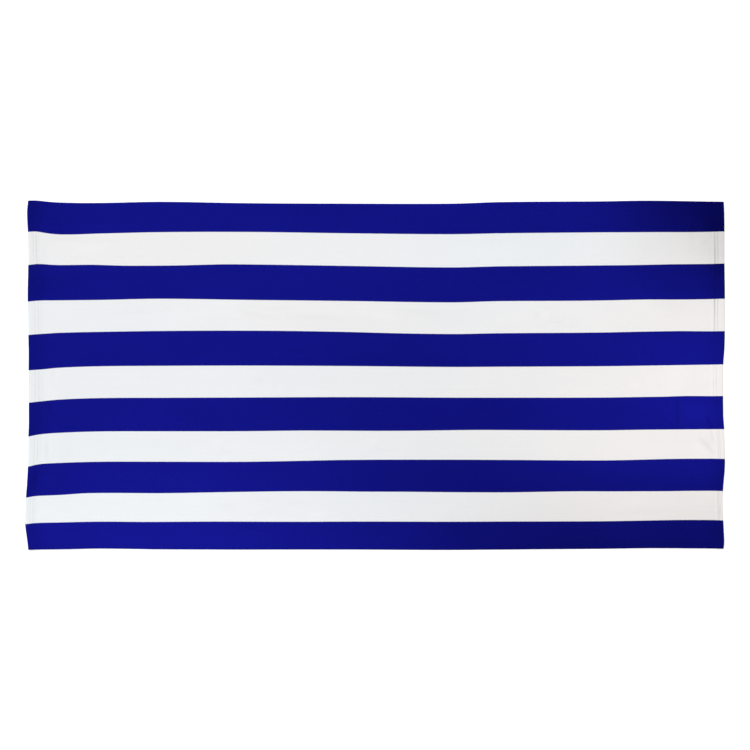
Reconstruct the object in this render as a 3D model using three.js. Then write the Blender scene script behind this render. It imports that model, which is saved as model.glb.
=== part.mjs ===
// A beach towel lying flat: one cloth, with a hem turned under twice and sewn down at each short end.
// Millimetres, +Z up. X runs along the towel, Y across it, and the underside rests on Z = 0.

import * as THREE from "three";
import { mergeVertices } from "three/addons/utils/BufferGeometryUtils.js";

// The cloth as it is made, before it is laid down
const LENGTH = 1524;
const WIDTH = 760;
const CLOTH_THICKNESS = 1.8;
const BLUE = 0x13157f;

// The top of each hem, by the distance from the end. The two dips are the rows of stitching, which press
// the three layers together, and past them the top layer comes down to the single cloth.
const HEM = [
  { fromEnd: 0, top: 3.2 },
  { fromEnd: 7, top: 4.0 },
  { fromEnd: 16, top: 3.2 },
  { fromEnd: 19.5, top: 3.6 },
  { fromEnd: 23, top: 3.1 },
  { fromEnd: 26, top: 3.0 },
  { fromEnd: 31, top: 1.9 },
  { fromEnd: 38, top: CLOTH_THICKNESS },
];

// How far the two faces stop short of the rim: round the fold at a hem, and at the thin long edges
const FOLD_ROUND = 1.4;
const EDGE_ROUND = 0.5;

// How the cloth lies: each row is a place along the towel, and each column says how far the cloth there
// has shifted across, towards +Y. The columns' own places across the cloth are in LIE_ACROSS.
const LIE_ACROSS = { north: 380, high: 310, upper: 165, middle: 20, lower: -190, south: -380 };
const LIE = [
  { along: -762, north: 2.5, high: 1.0, upper: -3.5, middle: -8.5, lower: -11.5, south: -0.5 },
  { along: -735, north: 2.5, high: 1.5, upper: -1.0, middle: -6.5, lower: -6.0, south: 0.0 },
  { along: -690, north: -1.5, high: -4.5, upper: -0.5, middle: -2.5, lower: -3.0, south: 0.5 },
  { along: -600, north: -2.5, high: -2.5, upper: 0.5, middle: 0.5, lower: -0.5, south: 2.0 },
  { along: -470, north: 0.0, high: 0.5, upper: 3.0, middle: 1.5, lower: -0.5, south: 0.5 },
  { along: -275, north: -3.0, high: 1.0, upper: 0.5, middle: 2.0, lower: -0.5, south: 0.0 },
  { along: -55, north: -4.0, high: -2.0, upper: -2.0, middle: 1.0, lower: 3.5, south: 0.0 },
  { along: 165, north: -4.0, high: -4.0, upper: -5.0, middle: -1.0, lower: 4.0, south: -1.0 },
  { along: 275, north: -0.5, high: -2.0, upper: -2.0, middle: -0.5, lower: 3.5, south: 0.0 },
  { along: 490, north: 1.0, high: 0.0, upper: -0.5, middle: 0.5, lower: 2.5, south: 1.5 },
  { along: 600, north: 2.5, high: 0.5, upper: 1.5, middle: 2.0, lower: 4.0, south: 3.0 },
  { along: 762, north: 0.0, high: 4.5, upper: 3.5, middle: 4.5, lower: 4.5, south: 2.0 },
];

// The two short ends, by the place across: how far each stands out past half the length, and how deep its
// hem shows, as a share of its full depth. A hem moves whole, and the cloth beyond it takes up the shift.
const ENDS = [
  { across: 380, left: -4.0, leftHem: 0.8, right: 0.0, rightHem: 0.95 },
  { across: 355, left: -2.0, leftHem: 0.78, right: 1.0, rightHem: 0.95 },
  { across: 310, left: -4.0, leftHem: 0.77, right: 1.5, rightHem: 0.95 },
  { across: 240, left: -4.5, leftHem: 0.85, right: 1.5, rightHem: 0.92 },
  { across: 180, left: -2.5, leftHem: 1.0, right: 2.5, rightHem: 1.0 },
  { across: 90, left: -5.0, leftHem: 1.0, right: 2.0, rightHem: 1.0 },
  { across: 20, left: -5.5, leftHem: 1.0, right: -1.5, rightHem: 0.88 },
  { across: -90, left: -5.5, leftHem: 0.98, right: -1.5, rightHem: 0.85 },
  { across: -125, left: -5.0, leftHem: 0.94, right: 1.0, rightHem: 0.72 },
  { across: -200, left: -3.0, leftHem: 0.86, right: 1.5, rightHem: 0.6 },
  { across: -250, left: -0.5, leftHem: 0.76, right: -3.0, rightHem: 0.5 },
  { across: -325, left: 2.0, leftHem: 0.72, right: -0.5, rightHem: 0.52 },
  { across: -365, left: -3.0, leftHem: 0.8, right: 1.5, rightHem: 0.6 },
  { across: -380, left: -4.5, leftHem: 0.82, right: 0.0, rightHem: 0.62 },
];
const HEM_MOVES_WHOLE = 32;
const END_SHIFT_FADES_BY = 170;
const HEM_SHARE_FADES_BY = 80;

// Low swells where the cloth lies clear of the surface: centre, half its length, half its width, the
// direction of its ridge in degrees from +X, and its height. Everywhere else the underside is flat.
const SWELLS = [
  { along: -698, across: -115, long: 185, wide: 46, ridge: 87, height: 2.2 },
  { along: -545, across: 225, long: 200, wide: 78, ridge: -14, height: 1.6 },
  { along: -270, across: 70, long: 245, wide: 84, ridge: -11, height: 1.8 },
  { along: -75, across: -245, long: 235, wide: 76, ridge: -13, height: 1.6 },
  { along: 190, across: 195, long: 260, wide: 86, ridge: 8, height: 2.0 },
  { along: 430, across: -165, long: 215, wide: 78, ridge: -12, height: 1.8 },
  { along: 612, across: 275, long: 155, wide: 70, ridge: -28, height: 2.4 },
  { along: 668, across: -55, long: 120, wide: 46, ridge: 84, height: 1.8 },
];

// Where the grid has its lines: close together in the hems, and about this far apart elsewhere
const PAST_THE_HEM = [54, 76, 102];
const GRID_ALONG = 36;
const GRID_ACROSS = 32;

// A smooth curve through a table's rows, read at one place. The rows may run either way.
function curve(rows, placeName, valueName, at) {
  const sorted = [...rows].sort((a, b) => a[placeName] - b[placeName]);
  const places = sorted.map((row) => row[placeName]);
  const values = sorted.map((row) => row[valueName]);
  const last = places.length - 1;
  const held = Math.min(Math.max(at, places[0]), places[last]);
  let before = 0;
  while (before < last - 1 && held > places[before + 1]) before += 1;
  const slope = (index) => {
    const from = Math.max(index - 1, 0);
    const to = Math.min(index + 1, last);
    return (values[to] - values[from]) / (places[to] - places[from]);
  };
  const span = places[before + 1] - places[before];
  const t = (held - places[before]) / span;
  const t2 = t * t;
  const t3 = t2 * t;
  return (
    (2 * t3 - 3 * t2 + 1) * values[before] +
    (t3 - 2 * t2 + t) * span * slope(before) +
    (3 * t2 - 2 * t3) * values[before + 1] +
    (t3 - t2) * span * slope(before + 1)
  );
}

// How far the cloth has shifted across at a place, from the six columns of LIE
function shiftAcross(along, across) {
  const columns = Object.entries(LIE_ACROSS).map(([name, place]) => ({
    place,
    shift: curve(LIE, "along", name, along),
  }));
  return curve(columns, "place", "shift", across);
}

// Where a place along the towel lies, from the outline and the hem of the nearer end
function lyingAlong(along, across) {
  const side = along < 0 ? "left" : "right";
  const fromEnd = LENGTH / 2 - Math.abs(along);
  const share = curve(ENDS, "across", `${side}Hem`, across);
  const shareFade = THREE.MathUtils.smoothstep(fromEnd, HEM_MOVES_WHOLE, HEM_SHARE_FADES_BY);
  const shiftFade = THREE.MathUtils.smoothstep(fromEnd, HEM_MOVES_WHOLE, END_SHIFT_FADES_BY);
  const shown = fromEnd * (share + (1 - share) * shareFade);
  const shift = (1 - shiftFade) * curve(ENDS, "across", side, across);
  return Math.sign(along) * (LENGTH / 2 - shown + shift);
}

// How far the swells hold the underside off the surface
function lift(along, across) {
  let height = 0;
  for (const swell of SWELLS) {
    const turn = THREE.MathUtils.degToRad(swell.ridge);
    const dx = along - swell.along;
    const dy = across - swell.across;
    const down = (dx * Math.cos(turn) + dy * Math.sin(turn)) / swell.long;
    const over = (dy * Math.cos(turn) - dx * Math.sin(turn)) / swell.wide;
    const inside = Math.max(0, 1 - down * down - over * over);
    height += swell.height * inside * inside;
  }
  return height;
}

// The thickness of the cloth, or of the whole hem
function thickness(along) {
  return curve(HEM, "fromEnd", "top", LENGTH / 2 - Math.abs(along));
}

// The grid's lines along the towel: every row of HEM, three more past it, and even steps between the ends
function linesAlong() {
  const nearEnd = [...HEM.map((row) => row.fromEnd), ...PAST_THE_HEM];
  const inner = LENGTH / 2 - nearEnd[nearEnd.length - 1];
  const steps = Math.round((2 * inner) / GRID_ALONG);
  const between = Array.from({ length: steps - 1 }, (_, i) => -inner + ((i + 1) * 2 * inner) / steps);
  const left = nearEnd.map((fromEnd) => fromEnd - LENGTH / 2);
  return [...left, ...between, ...left.map((place) => -place).reverse()];
}

function linesAcross() {
  const steps = Math.round(WIDTH / GRID_ACROSS);
  return Array.from({ length: steps + 1 }, (_, i) => -WIDTH / 2 + (i * WIDTH) / steps);
}

// The towel is a box of one cell for each square of the grid and two cells thick. Each of its points goes
// to its place on the lying cloth, and the middle level makes the rounded rim.
function towelGeometry() {
  const along = linesAlong();
  const across = linesAcross();
  const columns = along.length - 1;
  const rows = across.length - 1;
  const geometry = new THREE.BoxGeometry(columns, rows, 2, columns, rows, 2);
  const points = geometry.attributes.position;
  for (let i = 0; i < points.count; i += 1) {
    const column = Math.round(points.getX(i) + columns / 2);
    const row = Math.round(points.getY(i) + rows / 2);
    const level = Math.round(points.getZ(i));
    const atEnd = column === 0 || column === columns;
    const atLongEdge = row === 0 || row === rows;
    const x = along[column];
    const y = across[row];
    const onFace = level !== 0;
    const pullAlong = atEnd && onFace ? Math.sign(x) * FOLD_ROUND : 0;
    const pullAcross = atLongEdge && onFace ? Math.sign(y) * EDGE_ROUND : 0;
    points.setXYZ(
      i,
      lyingAlong(x, y) - pullAlong,
      y + shiftAcross(x, y) - pullAcross,
      lift(x, y) + ((level + 1) / 2) * thickness(x),
    );
  }
  geometry.deleteAttribute("normal");
  geometry.deleteAttribute("uv");
  const solid = mergeVertices(geometry, 1e-4);
  solid.computeBoundingBox();
  const { min, max } = solid.boundingBox;
  solid.translate(-(min.x + max.x) / 2, -(min.y + max.y) / 2, -min.z);
  solid.computeVertexNormals();
  return solid;
}

const cloth = new THREE.MeshStandardMaterial({ color: BLUE, roughness: 0.95, metalness: 0 });
const towel = new THREE.Mesh(towelGeometry(), cloth);
towel.name = "towel";

const beachTowel = new THREE.Group();
beachTowel.add(towel);

export default beachTowel;
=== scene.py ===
"""A beach towel lying flat, seen from straight above.

One length of blue and white striped cloth is laid out on a white floor. Each short end is turned under
twice and sewn down with two rows of stitching. The cloth has a sheared pile on its face and short loops
on its back. The tables of sizes are in millimetres, and the meshes are in metres.
"""

import math

import bpy
import numpy as np
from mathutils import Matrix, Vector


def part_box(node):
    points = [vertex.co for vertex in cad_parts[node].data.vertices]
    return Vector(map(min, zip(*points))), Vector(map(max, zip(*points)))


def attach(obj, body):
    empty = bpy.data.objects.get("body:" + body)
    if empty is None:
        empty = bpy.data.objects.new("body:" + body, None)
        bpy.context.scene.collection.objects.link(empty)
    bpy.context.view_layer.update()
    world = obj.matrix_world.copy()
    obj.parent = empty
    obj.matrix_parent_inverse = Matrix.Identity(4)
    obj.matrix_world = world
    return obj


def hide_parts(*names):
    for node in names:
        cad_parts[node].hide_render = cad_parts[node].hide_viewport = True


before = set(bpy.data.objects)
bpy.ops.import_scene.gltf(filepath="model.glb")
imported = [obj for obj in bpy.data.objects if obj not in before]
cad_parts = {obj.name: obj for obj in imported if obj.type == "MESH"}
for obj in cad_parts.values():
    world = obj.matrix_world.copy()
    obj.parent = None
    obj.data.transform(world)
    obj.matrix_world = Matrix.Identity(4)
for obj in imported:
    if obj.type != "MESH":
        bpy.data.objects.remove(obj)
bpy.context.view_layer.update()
MM = 0.001

# The cloth as it is made
LENGTH = 1524.0
WIDTH = 760.0

# The stripes' widths from the north edge to the south edge, blue first and then white by turns
STRIPES = [66.5, 72.0, 76.0, 71.0, 74.0, 70.0, 71.5, 67.0, 68.0, 64.5, 59.5]

# Half of the cloth as a section along the towel, from the single cloth to the cut edge hidden in the hem:
# the distance from the end, the height of the middle of the cloth, and the thickness there.
SECTION = [
    # the single cloth, and its rise onto the hem
    (38.0, 0.90, 1.80),
    (33.5, 1.10, 1.66),
    (30.5, 1.52, 1.50),
    (28.0, 2.12, 1.34),
    (26.0, 2.50, 1.20),
    # the top of the hem, pressed down at its two rows of stitching
    (24.6, 2.64, 1.12),
    (23.0, 2.57, 1.02),
    (21.4, 2.82, 1.14),
    (19.4, 2.98, 1.20),
    (17.4, 2.84, 1.14),
    (15.9, 2.66, 1.02),
    (14.2, 2.98, 1.16),
    (11.0, 3.26, 1.26),
    (7.0, 3.38, 1.30),
    (3.8, 3.30, 1.30),
    (2.0, 3.04, 1.28),
    # round the fold at the end
    (0.95, 2.56, 1.26),
    (0.63, 1.94, 1.24),
    (0.95, 1.30, 1.26),
    (2.0, 0.80, 1.26),
    # back along the underside
    (4.5, 0.64, 1.22),
    (8.5, 0.62, 1.20),
    (12.5, 0.60, 1.08),
    (15.9, 0.65, 0.72),
    (19.4, 0.59, 1.06),
    (23.0, 0.65, 0.70),
    (24.6, 0.60, 0.88),
    # the second fold, and the turned-in edge between the other two layers
    (25.5, 0.76, 0.96),
    (25.75, 1.05, 0.96),
    (25.5, 1.36, 0.96),
    (24.4, 1.54, 0.96),
    (23.0, 1.54, 0.92),
    (19.4, 1.78, 1.08),
    (15.9, 1.60, 0.94),
    (11.0, 1.92, 1.12),
    (6.5, 2.00, 1.10),
]

# How the cloth lies: each row is a place along the towel, and each column says how far the cloth there
# has shifted across, towards +Y. The columns' own places across the cloth are in LIE_ACROSS.
LIE_ACROSS = [380.0, 310.0, 165.0, 20.0, -190.0, -380.0]
LIE = [
    # along, then the shifts from north to south
    (-762.0, 2.5, 1.0, -3.5, -8.5, -11.5, -0.5),
    (-735.0, 2.5, 1.5, -1.0, -6.5, -6.0, 0.0),
    (-690.0, -1.5, -4.5, -0.5, -2.5, -3.0, 0.5),
    (-600.0, -2.5, -2.5, 0.5, 0.5, -0.5, 2.0),
    (-470.0, 0.0, 0.5, 3.0, 1.5, -0.5, 0.5),
    (-275.0, -3.0, 1.0, 0.5, 2.0, -0.5, 0.0),
    (-55.0, -4.0, -2.0, -2.0, 1.0, 3.5, 0.0),
    (165.0, -4.0, -4.0, -5.0, -1.0, 4.0, -1.0),
    (275.0, -0.5, -2.0, -2.0, -0.5, 3.5, 0.0),
    (490.0, 1.0, 0.0, -0.5, 0.5, 2.5, 1.5),
    (600.0, 2.5, 0.5, 1.5, 2.0, 4.0, 3.0),
    (762.0, 0.0, 4.5, 3.5, 4.5, 4.5, 2.0),
]

# The two short ends, by the place across: how far each stands out past half the length, and how deep its
# hem shows, as a share of its full depth. A hem moves whole, and the cloth beyond it takes up the shift.
ENDS = [
    # across, left, left hem, right, right hem
    (380.0, -3.6, 0.80, 0.0, 0.95),
    (355.0, -1.5, 0.78, 1.0, 0.95),
    (310.0, -3.2, 0.77, 1.5, 0.95),
    (240.0, -3.9, 0.85, 1.5, 0.92),
    (180.0, -2.6, 1.00, 2.4, 1.00),
    (90.0, -4.2, 1.00, 2.3, 1.00),
    (55.0, -4.8, 1.00, 1.4, 0.99),
    (20.0, -4.6, 1.00, -1.0, 0.97),
    (-90.0, -5.2, 0.98, -1.2, 0.88),
    (-125.0, -4.1, 0.94, 1.0, 0.72),
    (-200.0, -2.7, 0.86, 2.2, 0.60),
    (-250.0, 0.4, 0.76, -1.8, 0.50),
    (-280.0, 2.3, 0.74, -3.0, 0.50),
    (-310.0, 3.0, 0.73, -1.9, 0.51),
    (-325.0, 2.3, 0.72, -1.2, 0.52),
    (-365.0, -2.6, 0.80, 0.6, 0.60),
    (-380.0, -4.0, 0.82, -0.8, 0.62),
]
HEM_MOVES_WHOLE = 32.0
END_SHIFT_FADES_BY = 170.0
HEM_SHARE_FADES_BY = 80.0

# Low swells where the cloth lies clear of the surface
SWELLS = [
    # along, across, half length, half width, ridge in degrees from +X, height
    (-698.0, -115.0, 185.0, 46.0, 87.0, 2.2),
    (-545.0, 225.0, 200.0, 78.0, -14.0, 1.6),
    (-270.0, 70.0, 245.0, 84.0, -11.0, 1.8),
    (-75.0, -245.0, 235.0, 76.0, -13.0, 1.6),
    (190.0, 195.0, 260.0, 86.0, 8.0, 2.0),
    (430.0, -165.0, 215.0, 78.0, -12.0, 1.8),
    (612.0, 275.0, 155.0, 70.0, -28.0, 2.4),
    (668.0, -55.0, 120.0, 46.0, 84.0, 1.8),
]

# Small creases in the upper surface. A trough has its depth as a negative height.
CREASES = [
    # along, across, half length, half width, direction in degrees from +X, height
    # near the right end
    (661.0, -84.0, 62.0, 6.5, 89.0, -0.60),
    (724.0, -106.0, 24.0, 6.5, -80.0, -0.60),
    (725.0, -139.0, 22.0, 6.5, -78.0, -0.80),
    (713.0, -157.5, 33.0, 8.0, -56.0, -1.25),
    (700.0, -166.0, 30.0, 10.0, -56.0, 0.35),
    (717.0, 284.0, 16.0, 5.0, 0.0, -0.50),
    (752.0, -297.0, 26.0, 8.0, 88.0, -0.90),
    (699.0, -6.0, 40.0, 6.5, 96.0, -0.25),
    (690.0, 300.0, 50.0, 10.0, 84.0, -0.30),
    (716.0, 312.0, 46.0, 9.0, -58.0, 0.30),
    (640.0, 150.0, 60.0, 22.0, -10.0, -0.30),
    (571.0, -25.0, 16.0, 12.0, 0.0, 0.28),
    (544.0, -11.0, 9.0, 15.0, 0.0, -0.24),
    (461.0, -37.0, 14.0, 9.0, 0.0, 0.24),
    (562.0, -282.0, 60.0, 14.0, 5.0, 0.20),
    (601.0, -300.0, 110.0, 9.0, 4.0, -0.22),
    # near the left end
    (-716.0, -158.0, 44.0, 8.0, 91.0, -0.60),
    (-716.0, -64.0, 18.0, 8.0, 90.0, -0.35),
    (-707.0, 8.0, 34.0, 9.0, 84.0, -0.35),
    (-741.0, -222.0, 30.0, 10.0, 88.0, -0.60),
    (-690.0, -240.0, 40.0, 11.0, 40.0, -0.18),
    (-668.0, -228.0, 40.0, 10.0, 30.0, 0.15),
    (-720.0, 262.0, 40.0, 10.0, 80.0, -0.25),
    (-640.0, 300.0, 120.0, 10.0, -2.0, -0.30),
    (-625.0, 276.0, 50.0, 12.0, 8.0, 0.16),
    (-515.0, 136.0, 66.0, 7.5, 3.0, -0.28),
    # in the middle
    (-262.0, 132.0, 62.0, 11.0, -10.0, -0.46),
    (-135.0, 127.0, 105.0, 11.0, -3.0, -0.28),
    (-110.0, 141.0, 120.0, 10.0, -1.0, 0.28),
    (12.0, 133.0, 85.0, 14.0, -12.0, 0.32),
    (112.0, 139.0, 88.0, 13.0, -9.0, -0.36),
    (354.0, 132.0, 8.5, 9.0, 0.0, -0.55),
    (373.0, 134.0, 9.0, 10.0, 0.0, 0.50),
    (396.0, 119.0, 26.0, 7.0, -8.0, -0.40),
    (-344.0, -145.0, 22.0, 9.0, 4.0, 0.38),
    (-322.0, -166.0, 38.0, 9.0, -24.0, -0.36),
    (17.0, -170.0, 50.0, 7.0, 3.0, -0.42),
    (-3.0, -146.0, 14.0, 15.0, 0.0, 0.34),
    (-322.0, -288.0, 34.0, 13.0, -10.0, -0.46),
    (-240.0, -272.0, 44.0, 10.0, -6.0, -0.24),
    (-164.0, -280.0, 34.0, 11.0, -10.0, -0.36),
    (-125.0, -306.0, 38.0, 10.0, 5.0, 0.34),
    (-252.0, -11.0, 8.0, 12.0, 0.0, -0.40),
]

# Where the stripes' edges wander from the straight line of the yarns, and how far towards +Y
DRIFT = [
    # along, across, half length, half width, direction in degrees from +X, shift
    (-670.0, 241.0, 130.0, 50.0, 0.0, 2.6),
    (-470.0, 241.0, 160.0, 50.0, 0.0, -3.6),
    (330.0, 241.0, 560.0, 50.0, 0.0, -0.9),
    (-215.0, 94.0, 300.0, 50.0, 0.0, 2.2),
    (300.0, 94.0, 420.0, 50.0, 0.0, -0.8),
    (20.0, -121.0, 230.0, 46.0, 0.0, -2.6),
    (-240.0, -256.0, 250.0, 46.0, 0.0, 3.6),
    (250.0, -256.0, 240.0, 46.0, 0.0, -1.4),
    (440.0, -256.0, 170.0, 46.0, 0.0, 1.6),
    (-715.0, -256.0, 90.0, 46.0, 0.0, -2.8),
    (700.0, -188.0, 150.0, 40.0, 0.0, 1.8),
    (700.0, -320.0, 130.0, 40.0, 0.0, 1.6),
    (-330.0, -320.0, 220.0, 40.0, 0.0, 1.6),
    (400.0, 165.0, 200.0, 40.0, 0.0, -0.6),
    (690.0, 165.0, 110.0, 40.0, 0.0, -1.2),
    (760.0, 313.0, 180.0, 36.0, 0.0, -2.6),
    (745.0, 241.0, 110.0, 36.0, 0.0, -1.3),
    (750.0, 94.0, 100.0, 36.0, 0.0, -1.6),
    (680.0, -50.0, 60.0, 34.0, 0.0, 0.9),
    (720.0, -256.0, 90.0, 36.0, 0.0, 1.0),
]

# Patches of painted light and painted shade: by how much brighter or darker the white is painted. On
# blue the same painted light and shade shows more strongly, by BLUE_CONTRAST as a power.
PAINTED_LIGHT_AND_SHADE = [
    # along, across, half length, half width, change
    (-480.0, -370.0, 620.0, 300.0, 0.045),
    (90.0, -40.0, 460.0, 330.0, -0.036),
    (240.0, -320.0, 440.0, 270.0, -0.062),
    (640.0, -420.0, 620.0, 260.0, -0.120),
    (860.0, 440.0, 480.0, 380.0, -0.260),
    (780.0, 290.0, 110.0, 100.0, -0.085),
    (300.0, 320.0, 420.0, 200.0, -0.020),
    (700.0, -15.0, 240.0, 180.0, 0.032),
    (740.0, -310.0, 200.0, 140.0, -0.022),
    (-250.0, -290.0, 150.0, 60.0, -0.010),
    (-780.0, 420.0, 220.0, 200.0, -0.040),
    (-150.0, -290.0, 260.0, 150.0, -0.014),
    (-110.0, 370.0, 240.0, 90.0, -0.016),
    (260.0, 205.0, 600.0, 62.0, -0.012),
    (-720.0, 205.0, 120.0, 62.0, -0.014),
    (290.0, -85.0, 210.0, 62.0, -0.018),
    (-520.0, -85.0, 170.0, 62.0, 0.012),
    (220.0, -225.0, 380.0, 62.0, -0.010),
    (775.0, 345.0, 55.0, 110.0, 0.075),
    (715.0, -87.0, 110.0, 54.0, 0.030),
]
BLUE_CONTRAST = 4.6

# The low and the high end of the noise in the pile, between which the two changes below run
NOISE_RANGE = (0.3, 0.7)

# Broad clouds in the pile: how many to a metre, how much narrower across the towel, and their change
CLOUDS = 7.0
CLOUDS_NARROWER = 1.6
CLOUD_CHANGE = 0.006

# Long thin streaks in the pile: how many to a metre along the towel and across it, and their change
STREAKS = (2.2, 160.0)
STREAK_CHANGE = 0.006

# How much darker or lighter the cloth is painted near its ends, as painted shade and painted light like
# the patches above, and the distance by which each change has faded: through the hem, round the fold at
# the end, where the cloth comes down off the hem, and beside each row of stitching
HEM_ON_WHITE = -0.010
HEM_ON_BLUE = -0.036
HEM_SHADE_FADES_BY = 55.0
RIM_ON_WHITE_LEFT = -0.140
RIM_ON_WHITE_RIGHT = -0.040
RIM_ON_BLUE = -0.130
RIM_SHADE_FADES_BY = 3.2
SLOPE_FROM_END = 31.0
SLOPE_LEFT = 0.014
SLOPE_RIGHT = -0.016
SLOPE_LIGHT_FADES_BY = 7.0
SEAM_SHADE = -0.080
SEAM_SHADE_FADES_BY = 1.0

# Where the stitching pulls tight, which adds painted shade beside its rows
TIGHT_SEAMS = [
    # side with -1 for left and 1 for right, across, half length, change, fading by
    (1, 200.0, 165.0, -0.33, 2.7),
    (1, -235.0, 125.0, -0.13, 2.4),
    (-1, 270.0, 60.0, -0.12, 1.8),
]
SEAM_ON_BLUE = 0.17  # the share of the seams' shades that shows on blue
# The painted shade in a crease's trough, and painted light on its ridge
CREASE_SHADE = 0.070  # the change for each millimetre of a crease's height
MIDDLE = 0.01  # metres from the towel's middle, by which what holds for one end gives way to the other's

# Colours as they are in daylight
BLUE_DYE = (0.0052, 0.0064, 0.2150)
COOL_WHITE = (0.780, 0.811, 0.838)
WARM_WHITE = (0.812, 0.784, 0.771)

# How warm the white looks, from 0 for COOL_WHITE to 1 for WARM_WHITE. It grows towards the lower right
# corner, between two places in metres, where a step across counts for WARM_ACROSS steps along.
WARM_ACROSS = -0.5
WARM_FROM = -0.3
WARM_TO = 0.95
WARMTH_THERE = (0.22, 1.0)  # at the first place and at the second
TINT = [
    # along, across, half length, half width, how much warmer
    (-480.0, 300.0, 620.0, 190.0, 0.42),
    (-130.0, 130.0, 380.0, 110.0, 0.40),
    (370.0, 290.0, 380.0, 190.0, -0.42),
    (-700.0, -270.0, 500.0, 230.0, -0.28),
    (80.0, -260.0, 420.0, 180.0, -0.30),
]

# The stripes' edges: how far the blue pile leans over each neighbouring white stripe, how far an edge
# blurs to either side, and how far the yarns make it ragged, with how often that turns in a metre
DYE_SPREAD = 0.55
EDGE_BLUR = 0.3
EDGE_RAGGED = 0.7
RAGGED_TURNS = 1400.0

# Single fibres as specks of colour: how many of each of two grades to a metre, the lowest and highest
# that their sum counts for, and what it makes of white and of blue there
SPECKS = (1300.0, 3600.0)
SPECK_RANGE = (0.75, 1.25)
SPECKS_ON_WHITE = (0.95, 1.05)
SPECKS_ON_BLUE = (0.62, 1.38)

# The relief of the sheared face: how often its fibres, grain, tufts and rows turn in a metre, for the
# last two along the towel and across it, and how high they are in metres
FIBRES = 2600.0
FIBRE_HEIGHT = 0.00014
GRAIN = 1100.0
GRAIN_HEIGHT = 0.00034
TUFTS = (210.0, 300.0)
TUFT_HEIGHT = 0.00030
YARN_ROWS = (60.0, 900.0)
YARN_ROW_HEIGHT = 0.00020
BUMP_STRENGTH = 0.8

# The loops of the back: how many to a metre along and across, how far they merge, how far a loop slopes
# down from its top as a share of its size, its height in metres, and the painted shade of its low and the
# painted light of its high part, with the heights that count as low and high
LOOPS = (560.0, 700.0)
LOOPS_MERGE = 0.6
LOOP_SLOPE = 0.7
LOOP_HEIGHT = 0.00045
LOOP_PAINTED_SHADES = (0.84, 1.02)
LOOP_LOW_AND_HIGH = (0.1, 0.6)

# How bright the whole back and the thread are beside the face
BACK_SHADE = 0.97
THREAD_SHADE = 0.92

# The finish of each material, on its shader's own sockets
TOWELLING = {
    "Roughness": 0.95,
    "Specular IOR Level": 0.01,
    "Sheen Weight": 0.03,
    "Sheen Roughness": 0.4,
    "Sheen Tint": (0.8, 0.85, 1.0, 1.0),
}
COTTON_THREAD = {"Roughness": 0.75, "Specular IOR Level": 0.12}
WHITE_FLOOR = {
    "Base Color": (0.9, 0.9, 0.9, 1.0),
    "Roughness": 1.0,
    "Specular IOR Level": 0.0,
    "Emission Color": (1.0, 1.0, 1.0, 1.0),
    "Emission Strength": 0.30,
}

# The mesh: cells across the cloth, and the steps along it in the middle, near the ends and in the hems
ROWS = 122
STEP_MIDDLE = 7.2
STEP_NEAR_END = 3.6
NEAR_END_FROM = 560.0
HEM_STEP = 1.28

# The long edges: how far in the face and the back stop, and the points of the rim between them, by the
# inset and the level, from the face at 1 to the back at -1
EDGE_INSET = 0.55
RIM = [(0.13, 0.62), (0.0, 0.0), (0.13, -0.62)]

# A ring round the cloth runs along the face, round the north rim, along the back and round the south rim.
# The back is its points from BACK_FROM to BACK_TO.
BACK_FROM = ROWS + 1 + len(RIM)
BACK_TO = BACK_FROM + ROWS

# The picture map, from 0 to 1 both ways: the cloth's length runs from MAP_LEFT to MAP_RIGHT, and the back
# and the face stand over each other, each with a strip for its rim, one step of the ring high. Each cut
# edge is an upright strip past its end, from its inner to its outer line.
MAP_LEFT = 0.008
MAP_RIGHT = 0.992
MAP_BACK = 0.012
MAP_FACE = 0.508
MAP_HEIGHT = 0.472
MAP_RIM_STEP = 0.004
MAP_CUT_LEFT = (0.006, 0.002)
MAP_CUT_RIGHT = (0.994, 0.998)
MAP_GAP = 1e-6  # the share of a step by which each face stops short of the next

# Random lines and surfaces: how many knots before they repeat, and the knot at the towel's middle
LINE_KNOTS = 512
LINE_MIDDLE = 200.0
SURFACE_KNOTS = 256
SURFACE_MIDDLE = 100.0

# Low waves that lift the long edges: how far apart they are at the north and the south edge, the part of
# each that stays down, the height of the rest, and how far in from the edge they reach
WAVES_NORTH = 85.0
WAVES_SOUTH = 95.0
WAVE_DOWN = 0.25
WAVE_HEIGHT = 1.5
WAVE_REACH = 20.0

# Puckers beside the stitching: how far apart they are at the left and the right end, their height, where
# they are strongest by the distance from the end, and how far they reach from there
PUCKERS_LEFT = 13.0
PUCKERS_RIGHT = 15.0
PUCKER_HEIGHT = 0.28
PUCKERS_FROM_END = 25.0
PUCKER_REACH = 15.0

# How uneven the pile is. It begins past the hem, at PILE_BEGINS from the end, and is whole at PILE_WHOLE.
PILE_UNEVEN = [
    # height, size, seed
    (0.08, 34.0, 31),
    (0.04, 15.0, 32),
]
PILE_BEGINS = 26.0
PILE_WHOLE = 40.0
RELIEF_STOPS = 1.0  # how far from the end all the face's fine unevenness stops

# The stitching of each end
STITCHING = [
    # name, side with -1 for left and 1 for right, seed
    ("stitching_left", -1, 5),
    ("stitching_right", 1, 6),
]

# The rows of stitching, which are the same at both ends
SEAMS = [
    # from the end, height of the cloth above and below, share in a tight stretch
    (15.9, 3.17, 0.30, 0.35),
    (23.0, 3.08, 0.30, 1.00),
]

# The stitches of a row: how far apart, how long, how much of the width is free of them, how much they
# vary along the row and beside it, their slant and how much it varies, and how far and how often a row sways
STITCH_PITCH = 3.1
STITCH_LENGTH = 2.75
STITCH_FREE = 6.0
PITCH_VARIES = 0.06
BESIDE_VARIES = 0.07
SLANT = 0.10
SLANT_VARIES = 0.04
SWAY = 0.35
SWAY_STEP = 60.0

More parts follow.
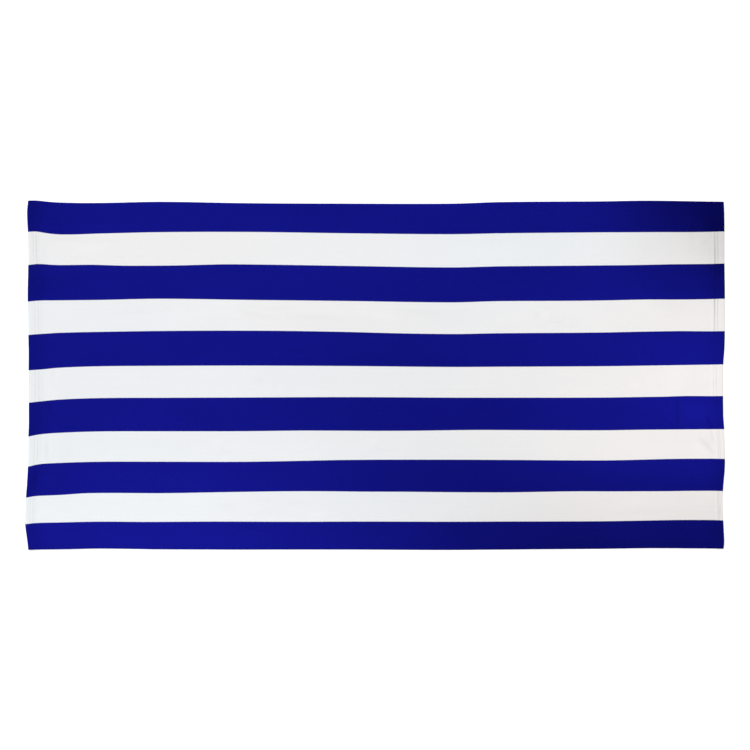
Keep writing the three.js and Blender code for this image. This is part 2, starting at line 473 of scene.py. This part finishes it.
# One stitch, which rises less below, where the towel's weight presses it in
STITCH_SHAPE = [
    # share of its half length, rise, radius of the thread
    (-1.0, -0.28, 0.15),
    (-0.62, 0.08, 0.20),
    (0.0, 0.19, 0.23),
    (0.62, 0.08, 0.20),
    (1.0, -0.28, 0.15),
]
UNDER_RISE = 0.6
THREAD_SIDES = 6

# The floor, in metres
FLOOR_REACH = 30.0
FLOOR_BELOW = 0.0005

# The light: a sky whose strength falls from its low part to its high part, by the height of the direction
# from 0 at the horizon to 1 overhead, and a sun with its width and its turn in degrees
SKY_HEIGHTS = (0.22, 0.42)
SKY_STRENGTHS = (1.15, 0.50)
SUN_STRENGTH = 1.95
SUN_WIDTH = 30.0
SUN_TURN = (-32.0, 0.0, 38.0)

# The camera: its place in metres, and its film and lens in millimetres
CAMERA_PLACE = (0.0, 0.0006, 4.0)
CAMERA_FILM = 36.0
CAMERA_LENS = 87.84


def curve(places, values, at):
    """A smooth curve through the values at these places, read at each number in at. Where values has a row
    for each place and a column for each number in at, each number is read from its own column."""
    order = np.argsort(places)
    places = np.asarray(places, float)[order]
    values = np.asarray(values, float)[order]
    gaps = (places[2:] - places[:-2]).reshape(-1, *[1] * (values.ndim - 1))
    slopes = np.empty_like(values)
    slopes[1:-1] = (values[2:] - values[:-2]) / gaps
    slopes[0] = (values[1] - values[0]) / (places[1] - places[0])
    slopes[-1] = (values[-1] - values[-2]) / (places[-1] - places[-2])
    held = np.clip(at, places[0], places[-1])
    before = np.clip(np.searchsorted(places, held) - 1, 0, len(places) - 2)
    span = places[before + 1] - places[before]
    t = (held - places[before]) / span
    own = (np.arange(len(held)),) if values.ndim == 2 else ()
    low, high = (before, *own), (before + 1, *own)
    return (
        (2 * t**3 - 3 * t**2 + 1) * values[low]
        + (t**3 - 2 * t**2 + t) * span * slopes[low]
        + (3 * t**2 - 2 * t**3) * values[high]
        + (t**3 - t**2) * span * slopes[high]
    )


def smoothstep(x, low, high):
    """From 0 at low to 1 at high, level at both."""
    t = np.clip((x - low) / (high - low), 0.0, 1.0)
    return t * t * (3.0 - 2.0 * t)


def wander(at, step, seed):
    """A smooth random line between -1 and 1 that turns about every step."""
    knots = np.random.default_rng(seed).uniform(-1.0, 1.0, LINE_KNOTS)
    place = np.asarray(at, float) / step + LINE_MIDDLE
    low = np.floor(place).astype(int)
    t = smoothstep(place - low, 0.0, 1.0)
    return knots[low % LINE_KNOTS] * (1.0 - t) + knots[(low + 1) % LINE_KNOTS] * t


def unevenness(along, across, step, seed):
    """A smooth random surface between -1 and 1, made of cells about one step wide."""
    knots = np.random.default_rng(seed).uniform(-1.0, 1.0, (SURFACE_KNOTS, SURFACE_KNOTS))
    x = np.asarray(along, float) / step + SURFACE_MIDDLE
    y = np.asarray(across, float) / step + SURFACE_MIDDLE
    i = np.floor(x).astype(int)
    j = np.floor(y).astype(int)
    s = smoothstep(x - i, 0.0, 1.0)
    t = smoothstep(y - j, 0.0, 1.0)
    i, next_i = i % SURFACE_KNOTS, (i + 1) % SURFACE_KNOTS
    j, next_j = j % SURFACE_KNOTS, (j + 1) % SURFACE_KNOTS
    near = knots[i, j] * (1 - s) + knots[next_i, j] * s
    far = knots[i, next_j] * (1 - s) + knots[next_i, next_j] * s
    return near * (1 - t) + far * t


def bumps(rows, along, across):
    """The height of a table of long low bumps at each place."""
    height = np.zeros_like(along)
    for x, y, long, wide, direction, tall in rows:
        turn = math.radians(direction)
        dx = along - x
        dy = across - y
        down = (dx * math.cos(turn) + dy * math.sin(turn)) / long
        over = (dy * math.cos(turn) - dx * math.sin(turn)) / wide
        height += tall * np.maximum(0.0, 1.0 - down**2 - over**2) ** 2
    return height


def shift_across(along, across):
    """How far the cloth has shifted across at each place, from the columns of LIE."""
    rows = np.array(LIE)
    columns = [curve(rows[:, 0], rows[:, k + 1], along) for k in range(len(LIE_ACROSS))]
    return curve(LIE_ACROSS, columns, across)


def lying_along(along, across):
    """Where each place along the towel lies, from the outline and the hem of the nearer end."""
    place, left, left_hem, right, right_hem = np.array(ENDS).T
    on_left = along < 0
    from_end = LENGTH / 2 - np.abs(along)
    out = np.where(on_left, curve(place, left, across), curve(place, right, across))
    share = np.where(on_left, curve(place, left_hem, across), curve(place, right_hem, across))
    share_fade = smoothstep(from_end, HEM_MOVES_WHOLE, HEM_SHARE_FADES_BY)
    shift_fade = smoothstep(from_end, HEM_MOVES_WHOLE, END_SHIFT_FADES_BY)
    shown = from_end * (share + (1 - share) * share_fade)
    return np.sign(along) * (LENGTH / 2 - shown + (1 - shift_fade) * out)


def lift(along, across):
    """How far the whole cloth is held off the surface, by its swells and by the waves of its long edges."""
    to_edge = WIDTH / 2 - np.abs(across)
    north = wander(along, WAVES_NORTH, seed=11)
    south = wander(along, WAVES_SOUTH, seed=12)
    wave = np.maximum(0.0, np.where(across > 0, north, south) - WAVE_DOWN) * WAVE_HEIGHT
    return bumps(SWELLS, along, across) + wave * np.exp(-((to_edge / WAVE_REACH) ** 2))


def relief(along, across):
    """The fine unevenness of the face: its creases, the puckers beside the stitching and the pile."""
    from_end = LENGTH / 2 - np.abs(along)
    left = wander(across, PUCKERS_LEFT, seed=21)
    right = wander(across, PUCKERS_RIGHT, seed=22)
    near_seams = np.exp(-(((from_end - PUCKERS_FROM_END) / PUCKER_REACH) ** 2))
    puckers = PUCKER_HEIGHT * np.where(along < 0, left, right) * near_seams
    pile = sum(tall * unevenness(along, across, size, seed) for tall, size, seed in PILE_UNEVEN)
    past_hem = smoothstep(from_end, PILE_BEGINS, PILE_WHOLE)
    return bumps(CREASES, along, across) + puckers + pile * past_hem


def half_path():
    """From the middle of the cloth to its cut edge: the place along the towel, the height, the thickness,
    and the distance travelled along the cloth."""
    from_end, height, thickness = np.array(SECTION).T
    along = LENGTH / 2 - from_end
    travelled = np.append(0.0, np.cumsum(np.hypot(np.diff(along), np.diff(height))))
    at = np.linspace(0.0, travelled[-1], round(travelled[-1] / HEM_STEP) + 1)
    hem = [curve(travelled, along, at), curve(travelled, height, at), curve(travelled, thickness, at)]
    hem = np.stack([*hem, along[0] + at], axis=1)
    middle = np.arange(0.0, NEAR_END_FROM, STEP_MIDDLE)
    steps = round((along[0] - NEAR_END_FROM) / STEP_NEAR_END)
    near_end = np.linspace(NEAR_END_FROM, along[0], steps + 1)
    flat = np.append(middle, near_end[:-1])
    single = np.stack([flat, flat * 0 + height[0], flat * 0 + thickness[0], flat], axis=1)
    return np.concatenate([single, hem])


def whole_path():
    """Both halves, from the cut edge in the left hem to the one in the right hem."""
    right = half_path()
    left = right[:0:-1] * np.array([-1.0, 1.0, 1.0, -1.0])
    return np.concatenate([left, right])


def ring_points():
    """One ring round the cloth, from the south edge of the face: each point's place across, and its level
    between the face at 1 and the back at -1."""
    edge = WIDTH / 2
    across = np.linspace(EDGE_INSET - edge, edge - EDGE_INSET, ROWS + 1)
    face = [(place, 1.0) for place in across]
    back = [(place, -1.0) for place in across[::-1]]
    north = [(edge - inset, level) for inset, level in RIM]
    south = [(inset - edge, level) for inset, level in RIM[::-1]]
    return np.array(face + north + back + south)


def lay_down(along, height, across):
    """The points in metres, with the lying shape, before the towel is centred."""
    x = lying_along(along, across)
    y = across + shift_across(along, across)
    return np.stack([x, y, height + lift(along, across)], axis=-1) * MM


def cloth_points(path, ring):
    """Each column of the path carries a ring, set out along the path's own normal."""
    tangent = np.gradient(path[:, :2], axis=0)
    tangent /= np.linalg.norm(tangent, axis=1)[:, None]
    along, height, thickness, travelled = (np.repeat(column, len(ring)) for column in path.T)
    lean = np.repeat(-tangent[:, 1], len(ring))
    rise = np.repeat(tangent[:, 0], len(ring))
    across, level = np.tile(ring.T, len(path))
    on_top = (np.abs(travelled) < LENGTH / 2 - RELIEF_STOPS) & (level > 0)
    raised = np.where(on_top, relief(along, across) * level, 0.0)
    points = lay_down(along, height + rise * level * thickness / 2 + raised, across)
    points[:, 0] += lean * level * thickness / 2 * MM
    return points


def cloth_faces(columns, around):
    """The quads between neighbouring rings, each one's place in its ring, and the faces that close the two
    cut edges."""
    i, j = np.meshgrid(np.arange(columns - 1), np.arange(around), indexing="ij")
    i, j = i.ravel(), j.ravel()
    ring, next_ring, next_j = i * around, (i + 1) * around, (j + 1) % around
    quads = np.stack([ring + j, next_ring + j, next_ring + next_j, ring + next_j], axis=-1)
    cap = [[k, k + 1, BACK_TO - k - 1, BACK_TO - k] for k in range(ROWS)]
    cap.append(list(range(ROWS, BACK_FROM + 1)))
    cap.append([*range(BACK_TO, around), 0])
    last = (columns - 1) * around
    caps = cap + [[last + place for place in face[::-1]] for face in cap]
    return quads, j, caps


def map_across(j):
    """Where a step of the ring starts, up the picture map."""
    face = MAP_FACE + MAP_HEIGHT * j / ROWS
    north = MAP_FACE + MAP_HEIGHT + MAP_RIM_STEP * (j - ROWS)
    back = MAP_BACK + MAP_HEIGHT * (j - BACK_FROM) / ROWS
    south = MAP_BACK + MAP_HEIGHT + MAP_RIM_STEP * (j - BACK_TO)
    return np.select([j < ROWS, j < BACK_FROM, j < BACK_TO], [face, north, back], south)


def map_cut_edge(face, around):
    """The corners of one of a cut edge's faces on the picture map."""
    column, places = face[0] // around, np.array(face) % around
    inner, outer = MAP_CUT_LEFT if column == 0 else MAP_CUT_RIGHT
    share = np.where(places <= ROWS, places, np.clip(BACK_TO - places, 0, ROWS))
    south = places > BACK_TO
    on_rim = (places > ROWS) & (places < BACK_FROM) | south
    u = np.where(on_rim, (inner + outer) / 2, np.where(places <= ROWS, inner, outer))
    bulge = np.where(south, -MAP_RIM_STEP, MAP_RIM_STEP)
    return np.stack([u, MAP_FACE + MAP_HEIGHT * share / ROWS + on_rim * bulge], axis=1)


def flat_map(mesh, path, around, quads, j, caps):
    """The picture map: the whole cloth laid out flat, and each cut edge as a strip at its own end."""
    half_length = path[-1, 3]
    u = MAP_LEFT + (MAP_RIGHT - MAP_LEFT) * (path[:, 3] + half_length) / (2 * half_length)
    i = quads[:, 0] // around
    low = map_across(j * 1.0)
    high = map_across(j + 1.0 - MAP_GAP)
    corner_u = np.stack([u[i], u[i + 1], u[i + 1], u[i]], axis=1)
    corner_v = np.stack([low, low, high, high], axis=1)
    sheet = np.stack([corner_u, corner_v], axis=-1).reshape(-1, 2)
    cut_edges = [map_cut_edge(face, around) for face in caps]
    layer = mesh.uv_layers.new(name="OFBake")
    layer.data.foreach_set("uv", np.concatenate([sheet, *cut_edges]).astype(np.float32).ravel())


def towel_offset(points):
    """What brings the points' box, in plan, over the solid's box."""
    low, high = (np.array(corner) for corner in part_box("towel"))
    return np.append((low + high)[:2] / 2 - (points.min(axis=0) + points.max(axis=0))[:2] / 2, low[2])


def place_in_scene(name, data):
    """A new object of the scene with this mesh, light or camera."""
    made = bpy.data.objects.new(name, data)
    bpy.context.scene.collection.objects.link(made)
    return made


def build_cloth():
    """The cloth, the shift that centres the towel, and the cloth's length when flat, in metres."""
    path = whole_path()
    ring = ring_points()
    points = cloth_points(path, ring)
    offset = towel_offset(points)
    quads, j, caps = cloth_faces(len(path), len(ring))
    mesh = bpy.data.meshes.new("towel_cloth")
    mesh.from_pydata((points + offset).tolist(), [], quads.tolist() + caps)
    mesh.shade_smooth()
    back = (j >= BACK_FROM) & (j < BACK_TO)
    mesh.polygons.foreach_set("material_index", np.append(back, np.zeros(len(caps))).astype(np.int32))
    flat_map(mesh, path, len(ring), quads, j, caps)
    along, travelled = (np.repeat(path[:, k], len(ring)) for k in (0, 3))
    mark_cloth(mesh, travelled, np.tile(ring[:, 0], len(path)), along)
    return place_in_scene("towel_cloth", mesh), offset, 2 * path[-1, 3] * MM


def mark_cloth(mesh, travelled, across, along):
    """What the materials read at each point: its place on the flat cloth along and across and its distance
    from the towel's end, in metres, and the painted shade that the creases give it."""
    from_end = LENGTH / 2 - np.abs(along)
    stripes = across - bumps(DRIFT, along, across)
    weave = np.stack([travelled, stripes, from_end], axis=1) * MM
    attribute = mesh.attributes.new("weave", "FLOAT_VECTOR", "POINT")
    attribute.data.foreach_set("vector", weave.astype(np.float32).ravel())
    shade = CREASE_SHADE * bumps(CREASES, along, across)
    attribute = mesh.attributes.new("shade", "FLOAT", "POINT")
    attribute.data.foreach_set("value", shade.astype(np.float32))


def row_of_stitches(rng, end, from_end, surface, under):
    """The middle line of each stitch in one row, as places along and across and heights, before the towel is
    laid down. A row on the underside hangs from its surface and follows no crease."""
    share, rise, _ = np.array(STITCH_SHAPE).T
    count = int((WIDTH - STITCH_FREE) / STITCH_PITCH)
    middle = (np.arange(count) - (count - 1) / 2) * STITCH_PITCH + rng.normal(0.0, PITCH_VARIES, count)
    beside = SWAY * wander(middle, SWAY_STEP, seed=284) + rng.normal(0.0, BESIDE_VARIES, count)
    slant = rng.normal(SLANT, SLANT_VARIES, count)
    across = (middle[:, None] + share * STITCH_LENGTH / 2).ravel()
    along = end * (LENGTH / 2 - (from_end + beside[:, None] + slant[:, None] * share)).ravel()
    rise = np.tile(rise, count)
    height = surface + (-UNDER_RISE * rise if under else rise + relief(along, across))
    return along, across, height


def thread_faces(stitches):
    """The sides of every stitch's thread, and its two closed tips."""
    sides = THREAD_SIDES
    per_stitch = len(STITCH_SHAPE) * sides
    faces = []
    for ring in range(0, per_stitch - sides, sides):
        for k in range(sides):
            a, b = ring + k, ring + (k + 1) % sides
            faces.append([a, b, b + sides, a + sides])
    faces.append(list(range(sides))[::-1])
    faces.append(list(range(per_stitch - sides, per_stitch)))
    return [[s * per_stitch + corner for corner in face] for s in range(stitches) for face in faces]


def build_stitching(name, end, seed, offset):
    """Both rows at one end, above and below, as one short arched thread for each stitch."""
    rng = np.random.default_rng(seed)
    turn = np.arange(THREAD_SIDES) * 2 * math.pi / THREAD_SIDES
    points, marks = [], []
    for from_end, above, below, _ in SEAMS:
        for surface, under in ((above, False), (below, True)):
            along, across, height = row_of_stitches(rng, end, from_end, surface, under)
            centre = lay_down(along, height, across) + offset
            radius = np.resize(np.array(STITCH_SHAPE)[:, 2], len(along))[:, None] * MM
            circle = np.zeros((len(along), THREAD_SIDES, 3))
            circle[:, :, 0] = radius * np.cos(turn)
            circle[:, :, 2] = radius * np.sin(turn)
            points.append((centre[:, None, :] + circle).reshape(-1, 3))
            marks.append(np.repeat(np.stack([along, across, along]), THREAD_SIDES, axis=1))
    points = np.concatenate(points)
    mesh = bpy.data.meshes.new(name)
    stitches = len(points) // (len(STITCH_SHAPE) * THREAD_SIDES)
    mesh.from_pydata(points.tolist(), [], thread_faces(stitches))
    mesh.shade_smooth()
    mark_cloth(mesh, *np.concatenate(marks, axis=1))
    return place_in_scene(name, mesh)


class Shader:
    """A small helper that adds nodes to one material."""

    def __init__(self, name, finish):
        self.material = bpy.data.materials.new(name)
        self.material.use_nodes = True
        self.tree = self.material.node_tree
        self.surface = self.tree.nodes["Principled BSDF"]
        for socket, value in finish.items():
            self.surface.inputs[socket].default_value = value

    def set(self, socket, value):
        if isinstance(value, bpy.types.NodeSocket):
            self.tree.links.new(value, socket)
        else:
            socket.default_value = value

    def add(self, kind, values=(), **settings):
        made = self.tree.nodes.new(kind)
        for key, value in settings.items():
            setattr(made, key, value)
        for key, value in dict(values).items():
            self.set(made.inputs[key], value)
        return made

    def attribute(self, name):
        return self.add("ShaderNodeAttribute", attribute_name=name).outputs

    def calc(self, operation, *values):
        return self.add("ShaderNodeMath", dict(enumerate(values)), operation=operation).outputs[0]

    def added(self, values):
        result = values[0]
        for value in values[1:]:
            result = self.calc("ADD", result, value)
        return result

    def apart(self, value, place):
        return self.calc("ABSOLUTE", self.calc("SUBTRACT", value, place))

    def mapped(self, value, from_low, from_high, to_low=0.0, to_high=1.0, ease="LINEAR"):
        sockets = {
            "Value": value,
            "From Min": from_low,
            "From Max": from_high,
            "To Min": to_low,
            "To Max": to_high,
        }
        return self.add("ShaderNodeMapRange", sockets, interpolation_type=ease).outputs[0]

    def by_end(self, along, left, right):
        return self.mapped(along, -MIDDLE, MIDDLE, left, right)

    def moved(self, vector, x, y):
        values = {0: vector, 1: (x, y, 0.0)}
        return self.add("ShaderNodeVectorMath", values, operation="ADD").outputs[0]

    def scaled(self, vector, x, y):
        values = {0: vector, 1: (x, y, 0.0)}
        return self.add("ShaderNodeVectorMath", values, operation="MULTIPLY").outputs[0]

    def length(self, vector):
        return self.add("ShaderNodeVectorMath", {0: vector}, operation="LENGTH").outputs["Value"]

    def shaded(self, colour, amount):
        values = {0: colour, "Scale": amount}
        return self.add("ShaderNodeVectorMath", values, operation="SCALE").outputs[0]

    def noise(self, vector, scale, detail=2.0, roughness=0.5):
        values = {"Vector": vector, "Scale": scale, "Detail": detail, "Roughness": roughness}
        return self.add("ShaderNodeTexNoise", values).outputs["Fac"]

    def mix(self, amount, first, second):
        made = self.add("ShaderNodeMix", data_type="RGBA")
        self.set(made.inputs["Factor"], amount)
        self.set(made.inputs[6], first)
        self.set(made.inputs[7], second)
        return made.outputs[2]


def stripe_mask(shader, across, place):
    """1 on a white stripe and 0 on a blue one. The edges follow the yarns, so they are a little uneven."""
    ragged = shader.noise(place, RAGGED_TURNS, detail=1.0)
    ragged = shader.mapped(ragged, 0.0, 1.0, -EDGE_RAGGED * MM, EDGE_RAGGED * MM)
    across = shader.calc("ADD", across, ragged)
    edges = WIDTH / 2 - np.cumsum(STRIPES)[:-1]
    steps = []
    for k, edge in enumerate(edges):
        change = 1.0 if k % 2 == 0 else -1.0
        edge = edge - change * DYE_SPREAD
        steps.append(shader.mapped(across, (edge + EDGE_BLUR) * MM, (edge - EDGE_BLUR) * MM, 0.0, change))
    return shader.added(steps)


def patches(shader, place, rows):
    """One change for each row of a table, whole at its centre and fading to nothing at its rim."""
    changes = []
    for along, across, long, wide, change in rows:
        shifted = shader.moved(place, -along * MM, -across * MM)
        away = shader.length(shader.scaled(shifted, 1.0 / (long * MM), 1.0 / (wide * MM)))
        changes.append(shader.mapped(away, 1.0, 0.0, 0.0, change, ease="SMOOTHSTEP"))
    return changes


def painted_shade_and_clouds(shader, place):
    """Painted light and shade from creases and patches, with random clouds and streaks in the pile."""
    clouds = shader.noise(shader.scaled(place, 1.0, CLOUDS_NARROWER), CLOUDS, detail=3.0)
    streaks = shader.noise(shader.scaled(place, *STREAKS), 1.0, detail=2.0)
    changes = [
        1.0,
        shader.attribute("shade")["Fac"],
        *patches(shader, place, PAINTED_LIGHT_AND_SHADE),
        shader.mapped(clouds, *NOISE_RANGE, -CLOUD_CHANGE, CLOUD_CHANGE),
        shader.mapped(streaks, *NOISE_RANGE, -STREAK_CHANGE, STREAK_CHANGE),
    ]
    return shader.added(changes)


def end_shades(shader, along, from_end):
    """The painted shade on the white and the blue in the hem and round the fold at the end."""
    rim_on_white = shader.by_end(along, RIM_ON_WHITE_LEFT, RIM_ON_WHITE_RIGHT)
    in_hem = shader.mapped(from_end, 0.0, HEM_SHADE_FADES_BY * MM, 1.0, 0.0)
    at_rim = shader.mapped(from_end, 0.0, RIM_SHADE_FADES_BY * MM, 1.0, 0.0)
    return [
        shader.calc("MULTIPLY_ADD", at_rim, rim, shader.calc("MULTIPLY", in_hem, hem))
        for hem, rim in ((HEM_ON_WHITE, rim_on_white), (HEM_ON_BLUE, RIM_ON_BLUE))
    ]


def slope_light(shader, along, from_end):
    """Painted light and shade where the cloth comes down off the hem, so that the slope hardly shows."""
    away = shader.apart(from_end, SLOPE_FROM_END * MM)
    on_slope = shader.mapped(away, 0.0, SLOPE_LIGHT_FADES_BY * MM, 1.0, 0.0)
    return shader.calc("MULTIPLY_ADD", on_slope, shader.by_end(along, SLOPE_LEFT, SLOPE_RIGHT), 1.0)


def seam_shade(shader, along, across, from_end):
    """The painted shade along the two rows of stitching, strongest where it pulls tight."""
    beside = [(shader.apart(from_end, seam * MM), share) for seam, _, _, share in SEAMS]
    shades = [shader.mapped(away, 0.0, SEAM_SHADE_FADES_BY * MM, SEAM_SHADE, 0.0) for away, _ in beside]
    for side, centre, reach, change, fades_by in TIGHT_SEAMS:
        away_across = shader.apart(across, centre * MM)
        tight = shader.mapped(away_across, reach * MM, 0.0, ease="SMOOTHSTEP")
        tight = shader.calc("MULTIPLY", tight, shader.mapped(along, -MIDDLE * side, MIDDLE * side))
        for away, share in beside:
            pull = shader.mapped(away, 0.0, fades_by * MM, share * change, 0.0)
            shades.append(shader.calc("MULTIPLY", pull, tight))
    return shader.added(shades)


def white_tint(shader, along, across, place):
    """The undyed white, cool or warm by its place."""
    towards_corner = shader.calc("MULTIPLY_ADD", across, WARM_ACROSS, along)
    by_corner = shader.mapped(towards_corner, WARM_FROM, WARM_TO, *WARMTH_THERE, ease="SMOOTHSTEP")
    warmth = shader.added([by_corner, *patches(shader, place, TINT)])
    return shader.mix(warmth, (*COOL_WHITE, 1.0), (*WARM_WHITE, 1.0))


def dye_and_painted_shade(shader, shade=1.0):
    """The colour of the cloth at each place, its dye with the painted light and shade, and that place."""
    place = shader.attribute("weave")["Vector"]
    along, across, from_end = shader.add("ShaderNodeSeparateXYZ", {0: place}).outputs
    shade_and_clouds = painted_shade_and_clouds(shader, place)
    seam = seam_shade(shader, along, across, from_end)
    white_end, blue_end = end_shades(shader, along, from_end)
    shade = shader.calc("MULTIPLY", slope_light(shader, along, from_end), shade)
    specks = shader.added([shader.noise(place, turns, detail=1.0) for turns in SPECKS])
    on_white = shader.calc("MULTIPLY", shader.added([shade_and_clouds, seam, white_end]), shade)
    on_white = shader.calc("MULTIPLY", on_white, shader.mapped(specks, *SPECK_RANGE, *SPECKS_ON_WHITE))
    # The painted light and shade as they show on blue, with a share of the seams' painted shade
    lean = shader.calc("MULTIPLY_ADD", seam, SEAM_ON_BLUE, shader.calc("ADD", shade_and_clouds, blue_end))
    on_blue = shader.calc("MULTIPLY", shader.calc("POWER", lean, BLUE_CONTRAST), shade)
    on_blue = shader.calc("MULTIPLY", on_blue, shader.mapped(specks, *SPECK_RANGE, *SPECKS_ON_BLUE))
    white = shader.shaded(white_tint(shader, along, across, place), on_white)
    blue = shader.shaded(BLUE_DYE, on_blue)
    return shader.mix(stripe_mask(shader, across, place), blue, white), place


def pile_height(shader, place):
    """The relief of the sheared face: fine fibres, their grain, small tufts and the long rows of yarns."""
    layers = [
        (shader.noise(place, FIBRES, detail=2.0, roughness=0.7), FIBRE_HEIGHT),
        (shader.noise(place, GRAIN, detail=2.0, roughness=0.6), GRAIN_HEIGHT),
        (shader.noise(shader.scaled(place, *TUFTS), 1.0, detail=2.0), TUFT_HEIGHT),
        (shader.noise(shader.scaled(place, *YARN_ROWS), 1.0, detail=1.0), YARN_ROW_HEIGHT),
    ]
    return shader.added([shader.calc("MULTIPLY", layer, height) for layer, height in layers])


def loops_of_yarn(shader, place):
    """The loops of the back, from 0 in the hollows to 1 on their tops."""
    cells = shader.add(
        "ShaderNodeTexVoronoi",
        {"Vector": shader.scaled(place, *LOOPS), "Scale": 1.0, "Smoothness": LOOPS_MERGE},
        feature="SMOOTH_F1",
    )
    return shader.mapped(cells.outputs["Distance"], 0.0, LOOP_SLOPE, 1.0, 0.0)


def add_bump(shader, height):
    bump = shader.add("ShaderNodeBump", {"Height": height, "Distance": 1.0, "Strength": BUMP_STRENGTH})
    shader.set(shader.surface.inputs["Normal"], bump.outputs[0])


def face_material():
    """Towelling, sheared to a short pile."""
    shader = Shader("sheared_pile", TOWELLING)
    colour, place = dye_and_painted_shade(shader)
    shader.set(shader.surface.inputs["Base Color"], colour)
    add_bump(shader, pile_height(shader, place))
    return shader.material


def back_material():
    """The same towelling, left in its loops."""
    shader = Shader("loops", TOWELLING)
    colour, place = dye_and_painted_shade(shader, BACK_SHADE)
    loops = loops_of_yarn(shader, place)
    # Painted shade in the hollows between the loops and painted light on their tops
    colour = shader.shaded(colour, shader.mapped(loops, *LOOP_LOW_AND_HIGH, *LOOP_PAINTED_SHADES))
    shader.set(shader.surface.inputs["Base Color"], colour)
    add_bump(shader, shader.calc("MULTIPLY", loops, LOOP_HEIGHT))
    return shader.material


def thread_material():
    """Cotton thread, dyed in step with the stripes it crosses, with the cloth's painted light and shade."""
    shader = Shader("thread", COTTON_THREAD)
    colour, _ = dye_and_painted_shade(shader, THREAD_SHADE)
    shader.set(shader.surface.inputs["Base Color"], colour)
    return shader.material


def add_floor():
    """A white floor just under the towel."""
    mesh = bpy.data.meshes.new("floor")
    x = y = FLOOR_REACH
    mesh.from_pydata([(-x, -y, 0.0), (x, -y, 0.0), (x, y, 0.0), (-x, y, 0.0)], [], [(0, 1, 2, 3)])
    mesh.materials.append(Shader("floor", WHITE_FLOOR).material)
    floor = place_in_scene("floor", mesh)
    floor.location.z = -FLOOR_BELOW


def light_the_scene():
    """A soft sky, brighter round the horizon as between white walls, and a sun from the upper left."""
    world = bpy.data.worlds.new("sky")
    world.use_nodes = True
    nodes, links = world.node_tree.nodes, world.node_tree.links
    parts = nodes.new("ShaderNodeSeparateXYZ")
    links.new(nodes.new("ShaderNodeTexCoord").outputs["Generated"], parts.inputs[0])
    strength = nodes.new("ShaderNodeMapRange")
    links.new(parts.outputs["Z"], strength.inputs["Value"])
    for socket, value in zip(("From Min", "From Max", "To Min", "To Max"), SKY_HEIGHTS + SKY_STRENGTHS):
        strength.inputs[socket].default_value = value
    links.new(strength.outputs[0], nodes["Background"].inputs["Strength"])
    nodes["Background"].inputs["Color"].default_value = (1.0, 1.0, 1.0, 1.0)
    bpy.context.scene.world = world
    lamp = bpy.data.lights.new("sun", "SUN")
    lamp.energy = SUN_STRENGTH
    lamp.angle = math.radians(SUN_WIDTH)
    sun = place_in_scene("sun", lamp)
    sun.rotation_euler = [math.radians(angle) for angle in SUN_TURN]


def add_camera():
    """Straight above the towel, with its length across the picture."""
    camera = place_in_scene("camera", bpy.data.cameras.new("camera"))
    camera.data.sensor_width = CAMERA_FILM
    camera.data.lens = CAMERA_LENS
    camera.location = CAMERA_PLACE
    bpy.context.scene.camera = camera


cloth, offset, flat_length = build_cloth()
cloth.data.materials.append(face_material())
cloth.data.materials.append(back_material())
thread = thread_material()
stitching = [build_stitching(*row, offset) for row in STITCHING]
for piece in stitching:
    piece.data.materials.append(thread)
    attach(piece, "root")
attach(cloth, "root")
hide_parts("towel")

add_floor()
light_the_scene()
add_camera()
bpy.context.scene.view_settings.view_transform = "Standard"
